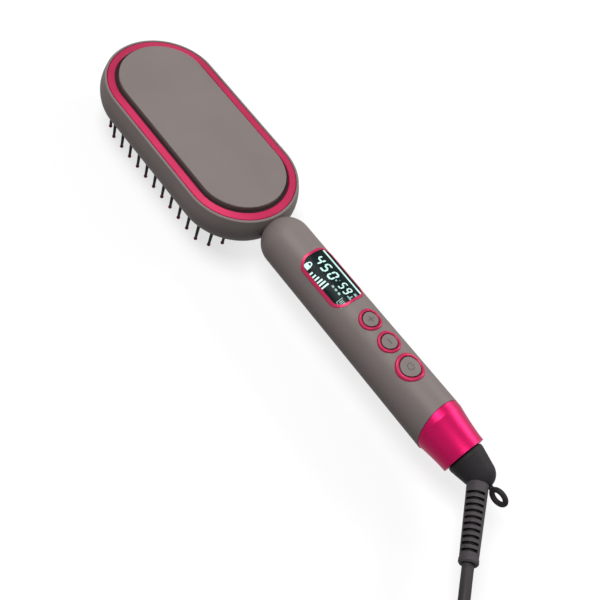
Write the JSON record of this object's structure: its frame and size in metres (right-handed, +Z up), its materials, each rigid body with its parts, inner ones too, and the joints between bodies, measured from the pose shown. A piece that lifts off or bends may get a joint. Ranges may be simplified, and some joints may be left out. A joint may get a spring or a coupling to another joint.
{
  "type": "hair straightening brush",
  "caption": "Heated hair straightening brush: oblong bristle head, round handle with curved display and buttons, swivelling cord with plug.",
  "frame": {"origin": "under the middle of the brush without its cord, on the surface that the bristle tips rest on", "axes": "+X along the handle from the head to the cord, +Z up from the bristle tips to the top panel, +Y to the right seen from the head's tip"},
  "size_m": [0.46, 0.1286, 0.0435],
  "materials": {
    "grey_shell": "satin pearl grey, slightly metallic",
    "pink_trim": "metallic pink, glossy",
    "pink_collar": "metallic pink, glossy, lacquered",
    "tip_caps": "heat-resistant cool tips, dull rose",
    "black_nylon": "moulded bristle frame",
    "coated_plate": "cast, ceramic-coated dark grey",
    "heater_ceramic": "fired alumina",
    "spring_steel": "rolled sheet",
    "screw_steel": "zinc plated",
    "brass_contacts": "plain",
    "glass_bead": "glass-encapsulated bead",
    "lead_insulation": "silicone insulation",
    "carrier_plastic": "moulded",
    "board_green": "solder mask",
    "module_black": "moulded",
    "display_lens": "dark tinted, polished",
    "ivory_plastic": "natural acetal",
    "swivel_black": "soft dark grey, fine texture",
    "relief_rubber": "moulded soft boot",
    "cord_rubber": "smooth mains cord",
    "tie_strap": "woven strap"
  },
  "bodies": {
    "brush": {"head_housing": "grey_shell", "accent_ring": "pink_trim", "top_panel": "grey_shell", "bristle_frame": "black_nylon", "bristles": "black_nylon", "heating_plate": "coated_plate", "heating_teeth": "coated_plate", "tooth_caps": "tip_caps", "heater_front": "heater_ceramic", "heater_rear": "heater_ceramic", "heater_clamp": "spring_steel", "thermal_fuse": "brass_contacts", "temperature_sensor": "glass_bead", "head_screws": "screw_steel", "heater_leads": "lead_insulation", "neck_clip": "spring_steel", "handle_sleeve": "grey_shell", "board_carrier": "carrier_plastic", "circuit_board": "board_green", "display_module": "module_black", "display_window": "display_lens", "display_frame": "pink_trim", "decrease_ring": "pink_trim", "increase_ring": "pink_trim", "power_ring": "pink_trim", "decrease_switch": "module_black", "increase_switch": "module_black", "power_switch": "module_black", "collar": "pink_collar", "swivel_bush": "ivory_plastic", "contact_block": "ivory_plastic", "mains_leads": "lead_insulation"},
    "increase_button": {"increase_cap": "grey_shell", "increase_plunger": "ivory_plastic"},
    "decrease_button": {"decrease_cap": "grey_shell", "decrease_plunger": "ivory_plastic"},
    "power_button": {"power_cap": "grey_shell", "power_plunger": "ivory_plastic"},
    "swivel": {"slip_rings": "brass_contacts", "swivel_elbow": "swivel_black", "hanging_loop": "swivel_black", "strain_relief": "relief_rubber", "cord_tube": "cord_rubber", "cord_coil": "cord_rubber", "cord_tie": "tie_strap", "cord_tail": "cord_rubber", "plug_body": "cord_rubber", "plug_blades": "brass_contacts"}
  },
  "joints": [
    {"name": "increase_press", "type": "slide", "parent": "brush", "child": "increase_button", "axis": [0, 0, -1], "range_m": [0, 0.0008], "stiffness_N_per_m": 800, "springref_m": -0.0006},
    {"name": "decrease_press", "type": "slide", "parent": "brush", "child": "decrease_button", "axis": [0, 0, -1], "range_m": [0, 0.0008], "stiffness_N_per_m": 800, "springref_m": -0.0006},
    {"name": "power_press", "type": "slide", "parent": "brush", "child": "power_button", "axis": [0, 0, -1], "range_m": [0, 0.0008], "stiffness_N_per_m": 800, "springref_m": -0.0006},
    {"name": "cord_swivel", "type": "hinge", "parent": "brush", "child": "swivel", "pos_m": [0.14433, 0, 0.0282], "axis": [1, 0, 0], "continuous": true}
  ]
}
